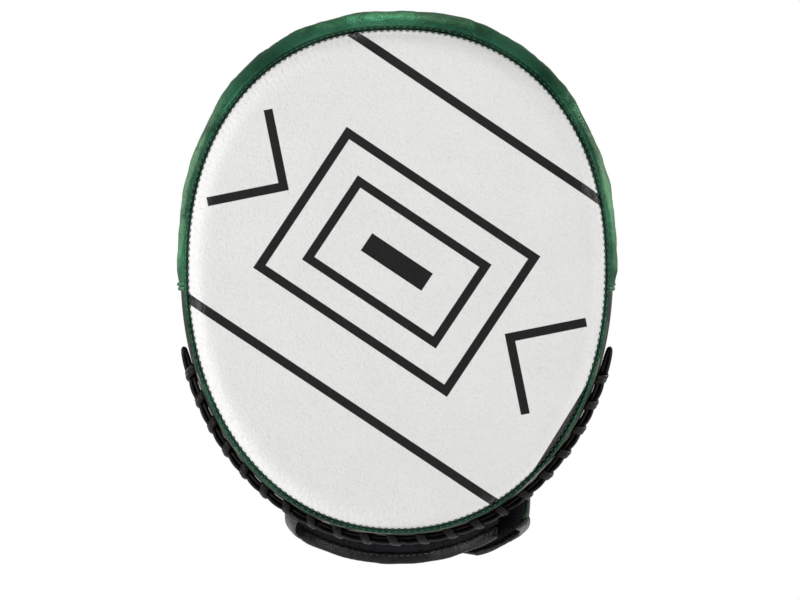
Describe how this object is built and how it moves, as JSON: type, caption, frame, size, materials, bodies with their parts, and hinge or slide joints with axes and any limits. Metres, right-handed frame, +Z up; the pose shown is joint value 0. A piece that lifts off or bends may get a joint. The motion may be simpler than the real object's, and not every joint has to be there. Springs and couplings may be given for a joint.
{
  "type": "focus mitt",
  "caption": "Curved striking pad for one hand: egg-shaped leather face over layered foam, laced lower edge, finger hood, thumb sleeve and a wrist cuff with a hook-and-loop strap.",
  "frame": {"origin": "the palm's centre on the palm-side surface of the back panel, where the wearer's hand lies", "axes": "+Z up along the fingers, the striking face towards -Y, the back of the hand towards +Y, the thumb towards -X"},
  "size_m": [0.2292, 0.1157, 0.2837],
  "materials": {
    "white_leather": "smooth grained leather, satin",
    "green_leather": "pearl-coated leather, glossy",
    "camo_leather": "printed leather, satin",
    "black_leather": "soft leather, semi-gloss",
    "black_mesh": "knitted spacer mesh, matt",
    "loop_fabric": "brushed loop fabric, matt",
    "hook_tape": "moulded hook tape, matt",
    "strap_rubber": "moulded rubber, matt",
    "dense_foam": "closed-cell foam, matt",
    "soft_foam": "latex foam, matt"
  },
  "bodies": {
    "pad": {"face_cover": "white_leather", "impact_foam": "dense_foam", "core_foam": "soft_foam", "back_foam": "soft_foam", "edge_welt": "green_leather", "upper_gusset": "green_leather", "lower_gusset": "camo_leather", "gusset_seam_left": "green_leather", "gusset_seam_right": "green_leather", "back_panel": "camo_leather", "back_binding": "green_leather", "edge_lace": "black_leather", "lace_knots": "black_leather", "palm_lining": "black_mesh", "palm_grip_foam": "soft_foam", "palm_grip_cover": "black_leather", "wing_anchor": "black_leather", "strap_anchor": "black_leather", "hood_shell": "camo_leather", "hood_padding": "soft_foam", "hood_lining": "black_mesh", "hood_binding": "black_leather", "thumb_shell": "camo_leather", "thumb_padding": "soft_foam", "thumb_lining": "black_mesh", "thumb_binding": "black_leather"},
    "cuff_wing": {"wing_lining": "black_mesh", "wing_padding": "soft_foam", "wing_shell": "black_leather", "wing_binding": "black_leather", "loop_patch": "loop_fabric"},
    "wrist_strap": {"strap_lining": "black_mesh", "strap_shell": "camo_leather", "strap_binding": "black_leather", "hook_patch": "hook_tape", "strap_tab": "strap_rubber"}
  },
  "joints": [
    {"name": "strap_peel", "type": "hinge", "parent": "pad", "child": "wrist_strap", "pos_m": [0.0686, 0.002, -0.035], "axis": [0, 0, -1], "range_deg": [0, 90]},
    {"name": "wing_open", "type": "hinge", "parent": "pad", "child": "cuff_wing", "pos_m": [-0.0622, 0.002, -0.035], "axis": [0, 0, 1], "range_deg": [0, 22.5]}
  ],
  "couplings": [
    {"joint": "wing_open", "follows": "strap_peel", "ratio": 0.25}
  ]
}
